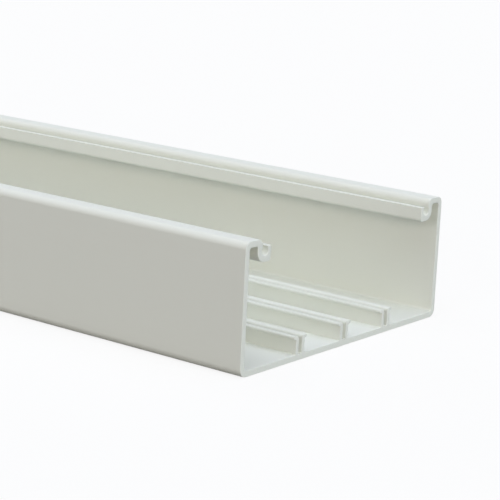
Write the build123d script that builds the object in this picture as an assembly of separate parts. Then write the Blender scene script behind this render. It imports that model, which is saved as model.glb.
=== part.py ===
"""Base of a snap-lid cable trunking: one length of extruded rigid PVC, open along its top.

Millimetres. X runs along the length, Y across it and Z up from the underside. The origin is in the
middle of the underside. One section is drawn in the YZ plane and extruded along the whole length.
"""

import os
from math import cos, radians, sin, sqrt

from build123d import *

# Stock
LENGTH = 2000.0  # as sold, square sawn at both ends
WIDTH = 100.0  # over the outer faces of the two side walls
HEIGHT = 39.0  # underside of the base to the top of the rims

# Base and side walls
BASE_THICKNESS = 1.8
WALL_THICKNESS = 1.8
FOOT_RADIUS = 2.6  # outside, where a wall meets the base
FLOOR_RADIUS = 0.8  # inside, in the same corner

# Rim: the wall turns in at the top and comes down again as a leg
RIM_THICKNESS = 1.8
SHOULDER_RADIUS = 2.2  # outside, over the top of the wall
LEG_THICKNESS = 2.0
LEG_RADIUS = 1.8  # over the top of the leg
SLOT_WIDTH = 3.8  # between the wall and the leg
SLOT_RADIUS = 1.0  # in the two upper corners of that slot

# Curl: the foot of the leg turns up round a groove, and the lid's bead snaps in over its flat lip
GROOVE_RADIUS = 1.5
GROOVE_DEPTH = 3.5  # top of the rim down to the middle of the groove
GROOVE_BITE = 0.3  # how far the groove reaches into the leg
CURL_THICKNESS = 1.2  # between the groove and the curl's upright face
CURL_BOTTOM = 1.8  # under the groove
HEEL_RADIUS = 3.0  # under the leg
TOE_RADIUS = 1.0  # under the upright face
CURL_TIP_ANGLE = 125.0  # degrees round the groove, from the leg's side over the top
CURL_EDGE_RADIUS = 0.15  # along both edges of the curl's lip

# Divider rails: pairs of hooked ribs on the floor, with a gap between the two
RAIL_COUNT = 3
RAIL_PITCH = 22.0
RAIL_HEIGHT = 5.6  # above the floor
RAIL_THICKNESS = 1.25
RAIL_GAP = 1.65
LIP_WIDTH = 1.0  # how far a rib's top hooks outward
LIP_THICKNESS = 1.1
LIP_RADIUS = 0.5  # along the lip's outer edges
CROWN_RADIUS = 1.0  # along the rib's upper edge on the side of the gap


def ring_point(centre, radius, angle):
    """The point of a circle at an angle in degrees."""
    return centre + Vector(cos(radians(angle)), sin(radians(angle))) * radius


def shell_half():
    """One half of the section, from the middle of the base up the wall and round the rim."""
    wall_outer = WIDTH / 2
    wall_inner = wall_outer - WALL_THICKNESS
    leg_outer = wall_inner - SLOT_WIDTH
    leg_inner = leg_outer - LEG_THICKNESS
    slot_top = HEIGHT - RIM_THICKNESS

    groove = Vector(leg_inner + GROOVE_BITE - GROOVE_RADIUS, HEIGHT - GROOVE_DEPTH)
    neck_rise = sqrt(GROOVE_RADIUS**2 - (leg_inner - groove.X) ** 2)
    neck = Vector(leg_inner, groove.Y + neck_rise)

    curl_face = groove.X - GROOVE_RADIUS - CURL_THICKNESS
    curl_under = groove.Y - GROOVE_RADIUS - CURL_BOTTOM
    heel = Vector(leg_outer - HEEL_RADIUS, curl_under + HEEL_RADIUS)
    toe = Vector(curl_face + TOE_RADIUS, curl_under + TOE_RADIUS)
    lip_inner = ring_point(groove, GROOVE_RADIUS, CURL_TIP_ANGLE)
    lip_outer = Vector(curl_face, lip_inner.Y)

    outline = Curve() + [
        # underside, outer wall and top of the rim
        Line((0, 0), (wall_outer - FOOT_RADIUS, 0)),
        CenterArc((wall_outer - FOOT_RADIUS, FOOT_RADIUS), FOOT_RADIUS, -90, 90),
        Line((wall_outer, FOOT_RADIUS), (wall_outer, HEIGHT - SHOULDER_RADIUS)),
        CenterArc((wall_outer - SHOULDER_RADIUS, HEIGHT - SHOULDER_RADIUS), SHOULDER_RADIUS, 0, 90),
        Line((wall_outer - SHOULDER_RADIUS, HEIGHT), (leg_inner + LEG_RADIUS, HEIGHT)),
        CenterArc((leg_inner + LEG_RADIUS, HEIGHT - LEG_RADIUS), LEG_RADIUS, 90, 90),
        Line((leg_inner, HEIGHT - LEG_RADIUS), neck),
        # groove, lip and outside of the curl
        ThreePointArc(neck, ring_point(groove, GROOVE_RADIUS, -90), lip_inner),
        Line(lip_inner, lip_outer),
        Line(lip_outer, (curl_face, toe.Y)),
        CenterArc(toe, TOE_RADIUS, 180, 90),
        Line((toe.X, curl_under), (heel.X, curl_under)),
        CenterArc(heel, HEEL_RADIUS, -90, 90),
        # slot between the leg and the wall
        Line((leg_outer, heel.Y), (leg_outer, slot_top - SLOT_RADIUS)),
        CenterArc((leg_outer + SLOT_RADIUS, slot_top - SLOT_RADIUS), SLOT_RADIUS, 90, 90),
        Line((leg_outer + SLOT_RADIUS, slot_top), (wall_inner - SLOT_RADIUS, slot_top)),
        CenterArc((wall_inner - SLOT_RADIUS, slot_top - SLOT_RADIUS), SLOT_RADIUS, 0, 90),
        # inner wall and floor
        Line((wall_inner, slot_top - SLOT_RADIUS), (wall_inner, BASE_THICKNESS + FLOOR_RADIUS)),
        CenterArc((wall_inner - FLOOR_RADIUS, BASE_THICKNESS + FLOOR_RADIUS), FLOOR_RADIUS, -90, 90),
        Line((wall_inner - FLOOR_RADIUS, BASE_THICKNESS), (0, BASE_THICKNESS)),
        Line((0, BASE_THICKNESS), (0, 0)),
    ]
    half = make_face(outline)
    lip = half.vertices().sort_by_distance((lip_outer + lip_inner) / 2)[:2]
    return fillet(lip, CURL_EDGE_RADIUS)


def rib():
    """The rib on the +Y side of a divider rail, hooked away from the rail's gap at its top."""
    inner = RAIL_GAP / 2
    outer = inner + RAIL_THICKNESS
    lip_edge = outer + LIP_WIDTH
    top = BASE_THICKNESS + RAIL_HEIGHT
    lip_under = top - LIP_THICKNESS
    outline = Polyline(
        (inner, 0),
        (outer, 0),
        (outer, lip_under),
        (lip_edge, lip_under),
        (lip_edge, top),
        (inner, top),
        close=True,
    )
    profile = make_face(outline)
    lip_corners = profile.vertices().sort_by(Axis.X)[-2:]
    profile = fillet(lip_corners, LIP_RADIUS)
    crown = profile.vertices().group_by(Axis.Y)[-1].sort_by(Axis.X)[0]
    return fillet(crown, CROWN_RADIUS)


def divider_rails():
    """All divider rails, evenly spaced about the middle of the floor."""
    pair = rib() + mirror(rib(), about=Plane.YZ)
    first = -RAIL_PITCH * (RAIL_COUNT - 1) / 2
    return [Pos(first + RAIL_PITCH * place, 0) * pair for place in range(RAIL_COUNT)]


def trunking_base():
    """The whole length of trunking as one solid."""
    section = shell_half() + mirror(shell_half(), about=Plane.YZ) + divider_rails()
    return extrude(Plane.YZ * section, LENGTH / 2, both=True)


os.makedirs("parts", exist_ok=True)
export_step(trunking_base(), "parts/trunking_base.step")
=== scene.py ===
"""A length of cable trunking base: a matt extruded channel with dull, square sawn ends.

Metres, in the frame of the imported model: X runs along the length, Y across it and Z up from the
underside. The section is drawn as a strip that is led from the middle of the base up the wall and
round the rim, mirrored to the other side and drawn out along X.
"""

import logging
from dataclasses import dataclass
from enum import Enum
from math import asin, cos, degrees, pi, radians, sin, sqrt
from typing import Any, Protocol

import bmesh
import bpy
from bmesh.types import BMEdge, BMesh, BMFace, BMVert
from mathutils import Matrix, Vector


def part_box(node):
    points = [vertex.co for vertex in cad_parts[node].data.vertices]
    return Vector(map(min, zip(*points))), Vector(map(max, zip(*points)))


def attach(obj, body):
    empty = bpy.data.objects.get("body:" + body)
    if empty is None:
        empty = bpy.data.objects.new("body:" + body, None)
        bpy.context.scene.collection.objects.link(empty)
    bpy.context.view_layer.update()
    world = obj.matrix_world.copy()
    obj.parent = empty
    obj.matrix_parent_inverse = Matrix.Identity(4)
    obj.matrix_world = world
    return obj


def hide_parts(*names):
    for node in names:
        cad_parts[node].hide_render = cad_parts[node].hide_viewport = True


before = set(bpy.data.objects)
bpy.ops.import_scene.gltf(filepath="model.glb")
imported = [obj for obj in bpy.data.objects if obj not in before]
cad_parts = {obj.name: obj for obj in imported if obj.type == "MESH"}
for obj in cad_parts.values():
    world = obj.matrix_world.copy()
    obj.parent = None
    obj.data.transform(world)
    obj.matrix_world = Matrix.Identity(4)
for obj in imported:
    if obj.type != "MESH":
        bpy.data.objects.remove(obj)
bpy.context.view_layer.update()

NODE = "trunking_base"
MM = 0.001
SAME_PLACE = 0.001 * MM
PVC_IOR = 1.53
LOG = logging.getLogger("trunking")

Colour = tuple[float, float, float, float]
WHITE: Colour = (1.0, 1.0, 1.0, 1.0)


class Side(Enum):
    """The way along Y that a rib's lip hooks."""

    MIDDLE = -1
    WALL = 1


class FaceKind(Enum):
    """The kinds of face on the trunking, numbered as their material slots."""

    SKIN = 0
    SAWN = 1


class Rounding(Enum):
    """What a bevel rounds: corners of the flat section, or edges of the solid."""

    CORNERS = "VERTICES"
    EDGES = "EDGES"


# Shader nodes


class Signal:
    """A shader socket that ordinary arithmetic can be written on."""

    def __init__(self, board: "Board", socket: bpy.types.NodeSocket) -> None:
        """Keeps the socket and the board that it is on."""
        self.board = board
        self.socket = socket

    def __add__(self, other: "Signal | float") -> "Signal":
        """self + other."""
        return self.board.math("ADD", self, other)

    def __radd__(self, other: float) -> "Signal":
        """other + self."""
        return self.board.math("ADD", other, self)

    def __sub__(self, other: "Signal | float") -> "Signal":
        """self - other."""
        return self.board.math("SUBTRACT", self, other)

    def __rsub__(self, other: float) -> "Signal":
        """other - self."""
        return self.board.math("SUBTRACT", other, self)

    def __mul__(self, other: "Signal | float") -> "Signal":
        """self * other."""
        return self.board.math("MULTIPLY", self, other)

    def __rmul__(self, other: float) -> "Signal":
        """other * self."""
        return self.board.math("MULTIPLY", other, self)


class Board:
    """The node tree of one material or world, started empty."""

    def __init__(self, tree: bpy.types.NodeTree) -> None:
        """Clears the tree."""
        self.tree = tree
        tree.nodes.clear()

    def add(
        self,
        kind: str,
        settings: dict[str, Any] | None = None,
        sockets: dict[str | int, Any] | None = None,
        out: str | int = 0,
    ) -> Signal:
        """Adds one node.

        Args:
            kind: The node's type.
            settings: Its own settings, which are set first.
            sockets: The values of its inputs, or the signals that feed them.
            out: The output that is wanted.

        Returns:
            The wanted output, or an empty signal where the node has none.
        """
        node = self.tree.nodes.new(kind)
        for name, value in (settings or {}).items():
            setattr(node, name, value)
        for name, value in (sockets or {}).items():
            if isinstance(value, Signal):
                self.tree.links.new(value.socket, node.inputs[name])
            else:
                node.inputs[name].default_value = value
        return Signal(self, node.outputs[out] if node.outputs else None)

    def math(self, operation: str, first: Signal | float, second: Signal | float) -> Signal:
        """One Math node on two values."""
        return self.add("ShaderNodeMath", {"operation": operation}, {0: first, 1: second})

    def limited(self, value: Signal) -> Signal:
        """The value kept between 0 and 1."""
        return self.add("ShaderNodeClamp", {}, {"Value": value})

    def mix(self, factor: Signal, first: Colour | Signal, second: Colour | Signal) -> Signal:
        """The first colour, going over to the second as the factor rises."""
        settings = {"data_type": "RGBA"}
        return self.add("ShaderNodeMix", settings, {0: factor, 6: first, 7: second}, out=2)

    def place(self) -> Signal:
        """The place on the piece in metres, or the direction in which the surroundings are."""
        return self.add("ShaderNodeTexCoord", out="Object")

    def bump(self, height: Signal, depth: float, strength: float) -> Signal:
        """A normal that follows a height.

        Args:
            height: The height, 0 to 1.
            depth: How deep a height of 1 is, in metres.
            strength: The share of that which shows.

        Returns:
            The normal.
        """
        sockets = {"Height": height, "Distance": depth, "Strength": strength}
        return self.add("ShaderNodeBump", {}, sockets, out="Normal")

    def plastic(self, sockets: dict[str, Any]) -> None:
        """Feeds rigid PVC with these values and signals to the material's output."""
        surface = self.add("ShaderNodeBsdfPrincipled", {}, {"IOR": PVC_IOR, **sockets})
        self.add("ShaderNodeOutputMaterial", {}, {"Surface": surface})


@dataclass(frozen=True)
class Grain:
    """A noise in the plastic, with its own size along the length and across it."""

    along: float
    across: float
    detail: float
    shift: float = 0.0

    def on(self, board: Board) -> Signal:
        """The noise on a board.

        Args:
            board: The board of the material that shows it.

        Returns:
            The noise, about 0.5 on average.
        """
        per_metre = Vector((1 / self.along, 1 / self.across, 1 / self.across))
        moved = (self.shift, self.shift, self.shift)
        sockets = {"Vector": board.place(), "Location": moved, "Scale": per_metre}
        mapped = board.add("ShaderNodeMapping", {}, sockets)
        sockets = {"Vector": mapped, "Scale": 1.0, "Detail": self.detail}
        return board.add("ShaderNodeTexNoise", {}, sockets)


# Finishes


class Finish(Protocol):
    """A finish that can make its material."""

    def material(self) -> bpy.types.Material:
        """The material."""


def new_board(name: str) -> tuple[bpy.types.Material, Board]:
    """A new material and its empty board.

    Args:
        name: The material's name.

    Returns:
        The material, and the board of its nodes.
    """
    made = bpy.data.materials.new(name)
    made.use_nodes = True
    return made, Board(made.node_tree)


@dataclass(frozen=True)
class ExtrudedSkin:
    """Rigid PVC as it leaves the die: matt, with faint lines and bands along the length."""

    colour: Colour = (0.878, 0.896, 0.838, 1.0)
    shade: Colour = (0.854, 0.872, 0.808, 1.0)
    roughness: float = 0.70
    gloss: float = 0.12
    gloss_spread: float = 0.10
    lines: Grain = Grain(along=2.5, across=0.9 * MM, detail=2.0)
    bands: Grain = Grain(along=2.5, across=14 * MM, detail=1.0, shift=3.7)
    clouds: Grain = Grain(along=60 * MM, across=60 * MM, detail=3.0, shift=8.1)
    line_share: float = 0.15
    band_share: float = 0.5
    cloud_share: float = 0.35
    line_depth: float = 0.02 * MM
    line_strength: float = 0.35

    def material(self) -> bpy.types.Material:
        """The skin's material.

        Returns:
            The material, with its tone and gloss changing along the die's lines.
        """
        made, board = new_board("extruded_pvc_skin")
        lines = self.lines.on(board)
        bands = self.bands.on(board)
        clouds = self.clouds.on(board)
        tone = bands * self.band_share + clouds * self.cloud_share + lines * self.line_share
        board.plastic(
            {
                "Base Color": board.mix(board.limited(tone), self.colour, self.shade),
                "Roughness": self.roughness + (lines + clouds - 1.0) * self.gloss_spread,
                "Specular IOR Level": self.gloss,
                "Normal": board.bump(lines, self.line_depth, self.line_strength),
            }
        )
        return made


@dataclass(frozen=True)
class SawnEnd:
    """The cut face of the same PVC: paler and dull, with the arcs that the saw's teeth leave."""

    colour: Colour = (0.895, 0.912, 0.865, 1.0)
    shade: Colour = (0.835, 0.855, 0.80, 1.0)
    roughness: float = 0.78
    gloss: float = 0.15
    gloss_spread: float = 0.20
    blade_centre: Vector = Vector((0.0, 0.09, -0.12))
    tooth_pitch: float = 0.55 * MM
    tooth_depth: float = 0.05 * MM
    tooth_strength: float = 0.5
    tooth_detail: float = 2.0
    tooth_share: float = 0.7
    grain: Grain = Grain(along=0.25 * MM, across=0.25 * MM, detail=1.0, shift=5.3)
    grain_share: float = 0.3

    def material(self) -> bpy.types.Material:
        """The cut face's material.

        Returns:
            The material, with arcs about the saw blade's middle.
        """
        made, board = new_board("sawn_pvc_end")
        flat = board.add(
            "ShaderNodeVectorMath",
            {"operation": "MULTIPLY"},
            {0: board.place(), 1: (0.0, 1.0, 1.0)},
        )
        reach = board.add(
            "ShaderNodeVectorMath",
            {"operation": "DISTANCE"},
            {0: flat, 1: self.blade_centre},
            out="Value",
        )
        arcs = board.add(
            "ShaderNodeTexNoise",
            {"noise_dimensions": "1D"},
            {"W": reach, "Scale": 1 / self.tooth_pitch, "Detail": self.tooth_detail},
        )
        grain = self.grain.on(board)
        marks = board.limited(arcs * self.tooth_share + grain * self.grain_share)
        board.plastic(
            {
                "Base Color": board.mix(marks, self.colour, self.shade),
                "Roughness": self.roughness + (grain - 0.5) * self.gloss_spread,
                "Specular IOR Level": self.gloss,
                "Normal": board.bump(marks, self.tooth_depth, self.tooth_strength),
            }
        )
        return made


# Meshes


def put_in_scene(name: str, mesh: BMesh, materials: list[bpy.types.Material]) -> bpy.types.Object:
    """Makes an object of a mesh, at the origin.

    Args:
        name: The object's name.
        mesh: Its mesh, which is freed.
        materials: Its materials, in the order of their slots.

    Returns:
        The object, in the scene.
    """
    data = bpy.data.meshes.new(name)
    mesh.to_mesh(data)
    mesh.free()
    for material in materials:
        data.materials.append(material)
    made = bpy.data.objects.new(name, data)
    bpy.context.scene.collection.objects.link(made)
    return made


class Move(Protocol):
    """How one corner of a strip's leading edge goes on."""

    def carry(self, mesh: BMesh, corner: BMVert, share: float) -> None:
        """Moves a corner by a share of the whole move."""


@dataclass(frozen=True)
class Shift:
    """A straight move across the section."""

    y: float = 0.0
    z: float = 0.0

    def carry(self, mesh: BMesh, corner: BMVert, share: float) -> None:
        """Moves a corner by a share of the whole move."""
        bmesh.ops.translate(mesh, verts=[corner], vec=Vector((0.0, self.y, self.z)) * share)


@dataclass(frozen=True)
class Swing:
    """A turn in the plane of the section, positive from +Y towards +Z."""

    pivot: Vector
    angle: float

    def carry(self, mesh: BMesh, corner: BMVert, share: float) -> None:
        """Turns a corner by a share of the whole angle."""
        turn = Matrix.Rotation(self.angle * share, 3, "X")
        bmesh.ops.rotate(mesh, verts=[corner], cent=self.pivot, matrix=turn)


class Strip:
    """A strip of faces in the section's plane, made by leading its front edge on."""

    def __init__(self, mesh: BMesh, outer: Vector, inner: Vector) -> None:
        """Starts the strip from one edge.

        Args:
            mesh: The mesh that it is drawn in.
            outer: The edge's end on the outer skin.
            inner: The edge's end on the inner skin.
        """
        self.mesh = mesh
        self.outer = mesh.verts.new(outer)
        self.inner = mesh.verts.new(inner)
        self.front = mesh.edges.new((self.outer, self.inner))

    def lead(self, outer: Move, inner: Move, steps: int = 1) -> None:
        """Leads the front edge on.

        Args:
            outer: How its outer end goes on.
            inner: How its inner end goes on.
            steps: The number of faces that the move is made in.
        """
        for _ in range(steps):
            grown = bmesh.ops.extrude_edge_only(self.mesh, edges=[self.front])["geom"]
            ends = [item for item in grown if isinstance(item, BMVert)]
            ends.sort(key=lambda end: (end.co - self.outer.co).length)
            self.outer, self.inner = ends
            self.front = self.mesh.edges.get(ends)
            outer.carry(self.mesh, self.outer, 1 / steps)
            inner.carry(self.mesh, self.inner, 1 / steps)


@dataclass
class TrunkingBase:
    """The channel, extruded in one piece: base, walls, snap rims and divider rails."""

    base_thickness: float = 1.8 * MM
    wall_thickness: float = 1.8 * MM
    foot_radius: float = 2.6 * MM
    floor_radius: float = 0.8 * MM
    rim_thickness: float = 1.8 * MM
    shoulder_radius: float = 2.2 * MM
    leg_thickness: float = 2.0 * MM
    leg_radius: float = 1.8 * MM
    slot_width: float = 3.8 * MM
    slot_radius: float = 1.0 * MM
    groove_radius: float = 1.5 * MM
    groove_depth: float = 3.5 * MM
    groove_bite: float = 0.3 * MM
    curl_thickness: float = 1.2 * MM
    curl_bottom: float = 1.8 * MM
    heel_radius: float = 3.0 * MM
    toe_radius: float = 1.0 * MM
    curl_tip_angle: float = radians(125)
    curl_edge_radius: float = 0.15 * MM
    rail_places: tuple[float, ...] = (0.0, 22 * MM)
    rail_height: float = 5.6 * MM
    rail_thickness: float = 1.25 * MM
    rail_gap: float = 1.65 * MM
    lip_width: float = 1.0 * MM
    lip_thickness: float = 1.1 * MM
    lip_radius: float = 0.5 * MM
    crown_radius: float = 1.0 * MM
    corner_radius: float = 0.2 * MM
    saw_break: float = 0.12 * MM
    quarter_steps: int = 12
    corner_steps: int = 6
    edge_steps: int = 3
    lengthwise_cuts: int = 19
    sharp_from: float = radians(40)
    cut_from: float = 0.99
    sawn_from: float = 0.2

    def __post_init__(self) -> None:
        """Takes the outside sizes from the frame and works out the section's lines."""
        low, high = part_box(NODE)
        self.back_x = low[0]
        self.length = high[0] - low[0]
        self.height = high[2]
        self.wall_outer = high[1]
        self.wall_inner = self.wall_outer - self.wall_thickness
        self.leg_outer = self.wall_inner - self.slot_width
        self.leg_inner = self.leg_outer - self.leg_thickness
        self.slot_top = self.height - self.rim_thickness
        self.groove_y = self.leg_inner + self.groove_bite - self.groove_radius
        self.groove_z = self.height - self.groove_depth
        self.neck_reach = self.leg_inner - self.groove_y
        self.neck_rise = sqrt(self.groove_radius**2 - self.neck_reach**2)
        self.curl_face = self.groove_y - self.groove_radius - self.curl_thickness
        self.curl_under = self.groove_z - self.groove_radius - self.curl_bottom
        self.curl_top = self.groove_z + self.groove_radius * sin(self.curl_tip_angle)

    def at(self, y: float, z: float) -> Vector:
        """A point of the section, in the plane that it is drawn in."""
        return Vector((self.back_x, y, z))

    def steps(self, angle: float) -> int:
        """The number of faces for a turn of this angle."""
        return max(2, round(self.quarter_steps * abs(degrees(angle)) / 90))

    def rib_feet(self) -> list[tuple[float, float, Side]]:
        """The ribs of one half of the floor.

        Returns:
            Where each rib's foot begins and ends along Y, and the side that its lip hooks to.
        """
        near = self.rail_gap / 2
        far = near + self.rail_thickness
        feet = []
        for place in self.rail_places:
            if place > 0:
                feet.append((place - far, place - near, Side.MIDDLE))
            feet.append((place + near, place + far, Side.WALL))
        return feet

    def draw_base(self, strip: Strip) -> None:
        """Leads the strip along the base, with a joint at each edge of each rib, and raises the ribs.

        Args:
            strip: The strip, at the middle of the base.
        """
        done = 0.0
        for begin, end, side in self.rib_feet():
            strip.lead(Shift(y=begin - done), Shift(y=begin - done))
            first = strip.inner
            strip.lead(Shift(y=end - begin), Shift(y=end - begin))
            self.raise_rib(strip.mesh, strip.mesh.edges.get((first, strip.inner)), side)
            done = end
        rest = self.wall_outer - self.foot_radius - done
        strip.lead(Shift(y=rest), Shift(y=rest))

    def raise_rib(self, mesh: BMesh, foot: BMEdge, side: Side) -> None:
        """Raises one rib from the floor and hooks its top over.

        Args:
            mesh: The section's mesh.
            foot: The edge of the floor that the rib stands on.
            side: The side that its lip hooks to.
        """
        stem = self.grown(mesh, foot, Shift(z=self.rail_height - self.lip_thickness))
        top = self.grown(mesh, stem, Shift(z=self.lip_thickness))
        corners = [max(edge.verts, key=lambda v: side.value * v.co.y) for edge in (stem, top)]
        crown = min(top.verts, key=lambda v: side.value * v.co.y)
        lip = self.grown(mesh, mesh.edges.get(corners), Shift(y=side.value * self.lip_width))
        steps = self.corner_steps
        self.bevel(mesh, list(lip.verts), Rounding.CORNERS, self.lip_radius, steps)
        self.bevel(mesh, [crown], Rounding.CORNERS, self.crown_radius, steps)

    @staticmethod
    def grown(mesh: BMesh, edge: BMEdge, move: Shift) -> BMEdge:
        """Draws a face out of an edge.

        Args:
            mesh: The section's mesh.
            edge: The edge.
            move: How far it goes.

        Returns:
            The new edge at the far side of the face.
        """
        made = bmesh.ops.extrude_edge_only(mesh, edges=[edge])["geom"]
        ends = [item for item in made if isinstance(item, BMVert)]
        for end in ends:
            move.carry(mesh, end, 1.0)
        return mesh.edges.get(ends)

    def draw_wall(self, strip: Strip) -> None:
        """Leads the strip round the foot, up the wall and over the shoulder.

        Args:
            strip: The strip, where the base's rounding begins.
        """
        foot = self.at(self.wall_outer - self.foot_radius, self.foot_radius)
        floor = self.at(
            self.wall_inner - self.floor_radius, self.base_thickness + self.floor_radius
        )
        strip.lead(Swing(foot, pi / 2), Swing(floor, pi / 2), self.quarter_steps)
        outer_rise = self.height - self.shoulder_radius - foot.z
        inner_rise = self.slot_top - self.slot_radius - floor.z
        strip.lead(Shift(z=outer_rise), Shift(z=inner_rise))
        shoulder = self.at(
            self.wall_outer - self.shoulder_radius, self.height - self.shoulder_radius
        )
        slot = self.at(self.wall_inner - self.slot_radius, self.slot_top - self.slot_radius)
        strip.lead(Swing(shoulder, pi / 2), Swing(slot, pi / 2), self.quarter_steps)

    def draw_rim(self, strip: Strip) -> None:
        """Leads the strip over the top of the rim and down the leg to the groove's neck.

        Args:
            strip: The strip, at the shoulder's end.
        """
        leg = self.at(self.leg_inner + self.leg_radius, self.height - self.leg_radius)
        slot = self.at(self.leg_outer + self.slot_radius, self.slot_top - self.slot_radius)
        strip.lead(Shift(y=leg.y - strip.outer.co.y), Shift(y=slot.y - strip.inner.co.y))
        strip.lead(Swing(leg, pi / 2), Swing(slot, pi / 2), self.quarter_steps)
        fall = self.groove_z + self.neck_rise - leg.z
        strip.lead(Shift(z=fall), Shift(z=fall / 2))

    def draw_curl(self, strip: Strip) -> None:
        """Leads the strip round the groove as far as the curl's upright face.

        Args:
            strip: The strip, at the groove's neck.
        """
        groove = self.at(self.groove_y, self.groove_z)
        heel = self.at(self.leg_outer - self.heel_radius, self.curl_under + self.heel_radius)
        toe = self.at(self.curl_face + self.toe_radius, self.curl_under + self.toe_radius)
        neck = asin(self.neck_rise / self.groove_radius)
        strip.lead(Swing(groove, -neck), Shift(z=heel.z - strip.inner.co.z), self.steps(neck))
        quarter = self.quarter_steps
        strip.lead(Swing(groove, -pi / 2), Swing(heel, -pi / 2), quarter)
        strip.lead(Swing(groove, -pi / 4), Shift(y=toe.y - heel.y), self.steps(pi / 4))
        strip.lead(Swing(groove, -pi / 4), Swing(toe, -pi / 2), quarter)

    def draw_lip(self, strip: Strip) -> None:
        """Leads the strip up the curl's face and over the eased edges of its flat lip.

        Args:
            strip: The strip, at the foot of the curl's face.
        """
        ease = self.curl_edge_radius
        edge_z = self.curl_top - ease
        reach = self.groove_radius + ease
        closing = asin((edge_z - self.groove_z) / reach)
        groove = self.at(self.groove_y, self.groove_z)
        nose = self.at(self.groove_y - reach * cos(closing), edge_z)
        brow = self.at(self.curl_face + ease, edge_z)
        rise = Shift(z=edge_z - strip.inner.co.z)
        strip.lead(Swing(groove, -closing), rise, self.steps(closing))
        turn = pi / 2 + closing
        strip.lead(Swing(nose, turn), Swing(brow, -pi / 2), self.steps(turn))

    def section(self) -> BMesh:
        """Draws the whole section.

        Returns:
            The section as faces in the plane of the back end.
        """
        mesh = bmesh.new()
        strip = Strip(mesh, self.at(0.0, 0.0), self.at(0.0, self.base_thickness))
        self.draw_base(strip)
        self.draw_wall(strip)
        self.draw_rim(strip)
        self.draw_curl(strip)
        self.draw_lip(strip)
        everything = mesh.verts[:] + mesh.edges[:] + mesh.faces[:]
        bmesh.ops.mirror(mesh, geom=everything, matrix=Matrix(), merge_dist=SAME_PLACE, axis="Y")
        bmesh.ops.remove_doubles(mesh, verts=mesh.verts[:], dist=SAME_PLACE)
        return mesh

    def draw_out(self, mesh: BMesh) -> None:
        """Draws the section out along the whole length, as a closed solid.

        Args:
            mesh: The section's mesh.
        """
        grown = bmesh.ops.extrude_face_region(mesh, geom=mesh.faces[:])["geom"]
        front = [item for item in grown if isinstance(item, BMVert)]
        bmesh.ops.translate(mesh, verts=front, vec=Vector((self.length, 0.0, 0.0)))
        bmesh.ops.recalc_face_normals(mesh, faces=mesh.faces[:])

    def is_lengthwise(self, edge: BMEdge) -> bool:
        """Whether an edge runs along the length."""
        return abs(edge.verts[0].co.x - edge.verts[1].co.x) > self.length / 2

    def is_cut(self, face: BMFace) -> bool:
        """Whether a face lies in one of the sawn ends."""
        return abs(face.normal.x) > self.cut_from

    def round_edges(self, mesh: BMesh) -> None:
        """Eases the sharp corners of the section, and then the rims of the two sawn ends.

        Args:
            mesh: The closed solid.
        """
        corners = [
            edge
            for edge in mesh.edges
            if self.is_lengthwise(edge) and edge.calc_face_angle() > self.sharp_from
        ]
        self.bevel(mesh, corners, Rounding.EDGES, self.corner_radius, self.edge_steps)
        rims = [
            edge
            for edge in mesh.edges
            if sum(self.is_cut(face) for face in edge.link_faces) == 1
        ]
        self.bevel(mesh, rims, Rounding.EDGES, self.saw_break, self.edge_steps)

    @staticmethod
    def bevel(
        mesh: BMesh,
        items: list[BMVert] | list[BMEdge],
        rounding: Rounding,
        width: float,
        steps: int,
    ) -> None:
        """Rounds some corners or edges.

        Args:
            mesh: The mesh.
            items: Its corners or edges to round.
            rounding: Which of the two they are.
            width: How far the rounding reaches from each of them.
            steps: The number of faces across the rounding.
        """
        bmesh.ops.bevel(
            mesh,
            geom=items,
            offset=width,
            offset_type="OFFSET",
            affect=rounding.value,
            segments=steps,
            profile=0.5,
            material=-1,
        )

    def divide(self, mesh: BMesh) -> None:
        """Divides the length into shorter faces.

        Args:
            mesh: The finished solid.
        """
        runs = [edge for edge in mesh.edges if self.is_lengthwise(edge)]
        bmesh.ops.subdivide_edges(mesh, edges=runs, cuts=self.lengthwise_cuts, use_grid_fill=True)

    def shade(self, mesh: BMesh) -> None:
        """Gives each face its finish, and smooth shading up to the sharp edges.

        Args:
            mesh: The finished solid.
        """
        for face in mesh.faces:
            face.smooth = True
            on_end = abs(face.normal.x) > self.sawn_from
            face.material_index = (FaceKind.SAWN if on_end else FaceKind.SKIN).value
        for edge in mesh.edges:
            edge.smooth = edge.calc_face_angle() < self.sharp_from

    def build(self, skin: Finish, sawn: Finish) -> bpy.types.Object:
        """Builds the trunking and puts it in the place of its node.

        Args:
            skin: The finish of the extruded faces.
            sawn: The finish of the two ends.

        Returns:
            The finished piece.
        """
        mesh = self.section()
        self.draw_out(mesh)
        self.round_edges(mesh)
        self.divide(mesh)
        self.shade(mesh)
        finishes = {FaceKind.SKIN: skin, FaceKind.SAWN: sawn}
        materials = [finishes[kind].material() for kind in FaceKind]
        piece = put_in_scene("trunking_channel", mesh, materials)
        normals = piece.modifiers.new("flat_faces_stay_flat", "WEIGHTED_NORMAL")
        normals.keep_sharp = True
        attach(piece, "root")
        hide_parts(NODE)
        return piece


# Studio and camera


def towards(azimuth: float, elevation: float) -> Vector:
    """The way out from the object.

    Args:
        azimuth: Round from -Y towards +X.
        elevation: Up from the level.

    Returns:
        The direction, one long.
    """
    level = cos(elevation)
    return Vector((sin(azimuth) * level, -cos(azimuth) * level, sin(elevation)))


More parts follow.
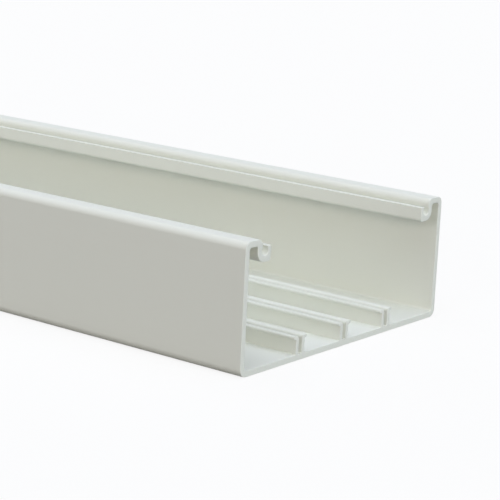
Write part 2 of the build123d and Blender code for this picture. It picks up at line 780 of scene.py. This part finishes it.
@dataclass(frozen=True)
class SoftLight:
    """A broad soft light, far enough away to be even along the whole length."""

    name: str
    azimuth: float
    elevation: float
    level: float
    spread: float
    colour: tuple[float, float, float]
    gives_sheen: bool = True

    def hang(self) -> bpy.types.Object:
        """The lamp, turned to shine from its side.

        Returns:
            The lamp's object.
        """
        data = bpy.data.lights.new(self.name, "SUN")
        data.energy = self.level * pi
        data.angle = self.spread
        data.color = self.colour
        lamp = bpy.data.objects.new(self.name, data)
        lamp.visible_glossy = self.gives_sheen
        lamp.rotation_mode = "QUATERNION"
        lamp.rotation_quaternion = towards(self.azimuth, self.elevation).to_track_quat("Z", "Y")
        bpy.context.scene.collection.objects.link(lamp)
        return lamp


@dataclass
class Studio:
    """A plain pale floor, a soft glow from above and soft lights round about."""

    floor_half: float = 8.0
    floor_drop: float = 0.05 * MM
    floor_colour: Colour = (0.98, 0.98, 0.98, 1.0)
    bounce_colour: Colour = (0.28, 0.28, 0.27, 1.0)
    white_share: float = 0.85
    glow_colour: Colour = (0.845, 0.887, 1.0, 1.0)
    glow_level: float = 2.09
    glow_power: float = 4.0
    lights: tuple[SoftLight, ...] = (
        SoftLight("front_top", radians(0), radians(55), 0.068, radians(50), (0.92, 1.0, 0.88)),
        SoftLight("low_front", radians(0), radians(18), 0.150, radians(25), (1.0, 0.95, 0.95)),
        SoftLight("low_corner", radians(45), radians(18), 0.207, radians(25), (1.0, 0.89, 0.73)),
        SoftLight("low_right", radians(90), radians(15), 0.339, radians(30), (0.88, 0.965, 1.0)),
        SoftLight(
            "back_fill",
            radians(225),
            radians(2.5),
            0.420,
            radians(6),
            (1.0, 0.97, 0.94),
            gives_sheen=False,
        ),
    )

    @staticmethod
    def seen_directly(board: Board) -> Signal:
        """Tells what looks at the studio from what lights it.

        Args:
            board: The board of the floor or the surroundings.

        Returns:
            1 where the camera, a reflection or a clear view looks, and 0 for light that bounces.
        """
        rays = [
            board.add("ShaderNodeLightPath", out=name)
            for name in ("Is Camera Ray", "Is Glossy Ray", "Is Transmission Ray")
        ]
        return board.limited(rays[0] + rays[1] + rays[2])

    def lay_floor(self) -> bpy.types.Object:
        """The floor, which looks white and still takes the object's shadow.

        Returns:
            The floor's object.
        """
        made, board = new_board("pale_floor")
        seen = self.seen_directly(board)
        colour = board.mix(seen, self.bounce_colour, self.floor_colour)
        matt = board.add("ShaderNodeBsdfDiffuse", {}, {"Color": colour})
        white = board.add("ShaderNodeEmission", {}, {"Color": WHITE, "Strength": 1.0})
        sockets = {0: seen * self.white_share, 1: matt, 2: white}
        surface = board.add("ShaderNodeMixShader", {}, sockets)
        board.add("ShaderNodeOutputMaterial", {}, {"Surface": surface})

        mesh = bmesh.new()
        down = Matrix.Translation((0.0, 0.0, -self.floor_drop))
        bmesh.ops.create_grid(mesh, x_segments=1, y_segments=1, size=self.floor_half, matrix=down)
        floor = put_in_scene("floor", mesh, [made])
        return floor

    def surround(self) -> None:
        """Sets the glow from above, with surroundings that look white where they are seen."""
        world = bpy.data.worlds.new("studio")
        world.use_nodes = True
        board = Board(world.node_tree)
        up = board.add("ShaderNodeSeparateXYZ", {}, {"Vector": board.place()}, out="Z")
        level = board.math("POWER", board.limited(up), self.glow_power) * self.glow_level
        sockets = {"Color": self.glow_colour, "Strength": level}
        glow = board.add("ShaderNodeBackground", {}, sockets)
        white = board.add("ShaderNodeBackground", {}, {"Color": WHITE, "Strength": 1.0})
        seen = self.seen_directly(board)
        sky = board.add("ShaderNodeMixShader", {}, {0: seen, 1: glow, 2: white})
        board.add("ShaderNodeOutputWorld", {}, {"Surface": sky})
        bpy.context.scene.world = world

    def build(self) -> None:
        """Lays the floor, hangs the lights and sets the plain view."""
        self.lay_floor()
        self.surround()
        for light in self.lights:
            light.hang()
        bpy.context.scene.view_settings.view_transform = "Standard"


@dataclass
class PhotoCamera:
    """The camera, held as the photograph was taken, looking at the near end of the trunking."""

    azimuth: float = radians(37.364)
    elevation: float = radians(13.052)
    roll: float = radians(-2.746)
    sensor_width: float = 36.0
    lens: float = 137.27
    right_of_middle: float = 27.905 * MM
    below_middle: float = 28.486 * MM
    distance: float = 569.876 * MM

    def build(self) -> bpy.types.Object:
        """Places the camera by where it sees the middle of the near end's lower edge.

        Returns:
            The camera's object.
        """
        low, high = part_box(NODE)
        near_end = Vector((high[0], (low[1] + high[1]) / 2, low[2]))
        ahead = -towards(self.azimuth, self.elevation)
        level_right = Vector((cos(self.azimuth), sin(self.azimuth), 0.0))
        tilt = Matrix.Rotation(self.roll, 3, ahead)
        right = tilt @ level_right
        down = ahead.cross(right)
        data = bpy.data.cameras.new("photo_camera")
        data.sensor_width = self.sensor_width
        data.lens = self.lens
        camera = bpy.data.objects.new("photo_camera", data)
        turned = Matrix((right, -down, -ahead)).transposed().to_4x4()
        offset = right * self.right_of_middle + down * self.below_middle + ahead * self.distance
        camera.matrix_world = Matrix.Translation(near_end - offset) @ turned
        bpy.context.scene.collection.objects.link(camera)
        bpy.context.scene.camera = camera
        return camera


def main() -> None:
    """Builds the trunking, the studio and the camera, in that order."""
    logging.basicConfig(level=logging.INFO, format="%(name)s: %(message)s")
    channel = TrunkingBase().build(ExtrudedSkin(), SawnEnd())
    LOG.info("%s: %d faces", channel.name, len(channel.data.polygons))
    Studio().build()
    LOG.info("studio: floor and lights")
    camera = PhotoCamera().build()
    LOG.info("%s at %s", camera.name, tuple(round(v, 4) for v in camera.location))


if __name__ == "__main__":
    main()
